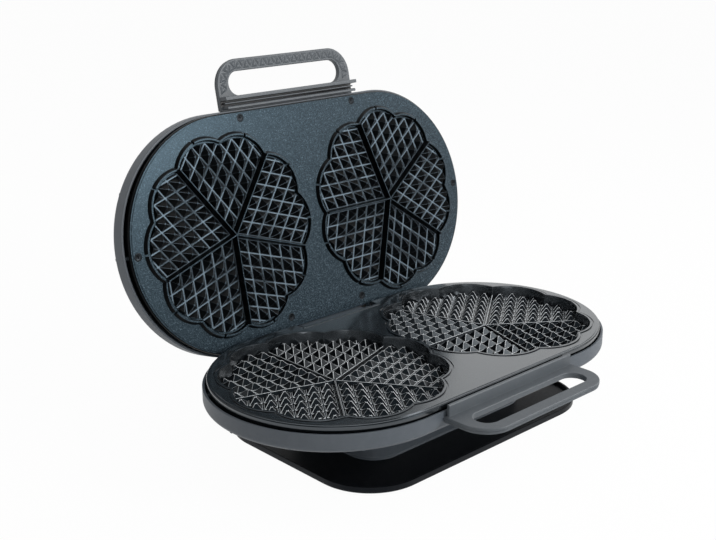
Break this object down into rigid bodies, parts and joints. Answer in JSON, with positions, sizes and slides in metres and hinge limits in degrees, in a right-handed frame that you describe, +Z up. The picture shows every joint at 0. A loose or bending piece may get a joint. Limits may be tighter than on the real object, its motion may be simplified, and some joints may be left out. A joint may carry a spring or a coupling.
{
  "type": "double waffle maker",
  "caption": "Electric waffle maker with its lid open: oval plates with heart-segmented waffle rosettes, L-shaped handles, a pedestal and a rimmed foot tray.",
  "frame": {"origin": "middle of the bounding box with the lid open, on the table", "axes": "+X along the long side of the plates, to the right seen from the handles; +Y from the handles to the hinge; +Z up"},
  "size_m": [0.401, 0.325, 0.3034],
  "materials": {
    "casing_plastic": "matte, fine grain",
    "handle_plastic": "matte",
    "plate_coating": "dark non-stick coating with a fine speckle, semi-gloss",
    "tray_plastic": "black",
    "rubber": "soft",
    "steel": "zinc plated",
    "element_steel": "heat-tinted",
    "shield_aluminium": "bright sheet",
    "terminal_plastic": "moulded",
    "fuse_sleeve": "woven glass sleeve",
    "board": "circuit board",
    "lamp_red": "translucent",
    "lamp_green": "translucent"
  },
  "bodies": {
    "root": {"foot_pads": "rubber", "base_tray": "tray_plastic", "pedestal": "casing_plastic", "pedestal_screws": "steel", "casing_screws": "steel", "cord_gland": "rubber", "terminal_block": "terminal_plastic", "lower_casing": "casing_plastic", "lower_plate": "plate_coating", "lower_plate_screws": "steel", "lower_heaters": "element_steel", "lower_heater_clamps": "steel", "lower_heat_shield": "shield_aluminium", "lower_thermal_fuse": "fuse_sleeve", "lower_handle": "handle_plastic", "lower_handle_screws": "steel", "hinge_bracket": "casing_plastic", "hinge_bracket_screws": "steel", "hinge_pins": "steel"},
    "lid": {"upper_casing": "casing_plastic", "upper_plate": "plate_coating", "upper_plate_screws": "steel", "upper_heaters": "element_steel", "upper_heater_clamps": "steel", "upper_heat_shield": "shield_aluminium", "upper_thermal_fuse": "fuse_sleeve", "upper_handle": "handle_plastic", "upper_handle_screws": "steel", "hinge_block": "casing_plastic", "hinge_block_screws": "steel", "thermostat": "steel", "lamp_board": "board", "power_lamp": "lamp_red", "ready_lamp": "lamp_green"},
    "dial": {"thermostat_dial": "handle_plastic"}
  },
  "joints": [
    {"name": "lid_hinge", "type": "hinge", "parent": "root", "child": "lid", "pos_m": [0, 0.08796, 0.0622], "axis": [1, 0, 0], "range_deg": [0, 101.8]},
    {"name": "dial_turn", "type": "hinge", "parent": "lid", "child": "dial", "pos_m": [0, 0.15062, 0.21103], "axis": [0, 0.9789, -0.2045], "range_deg": [-270, 0]}
  ]
}
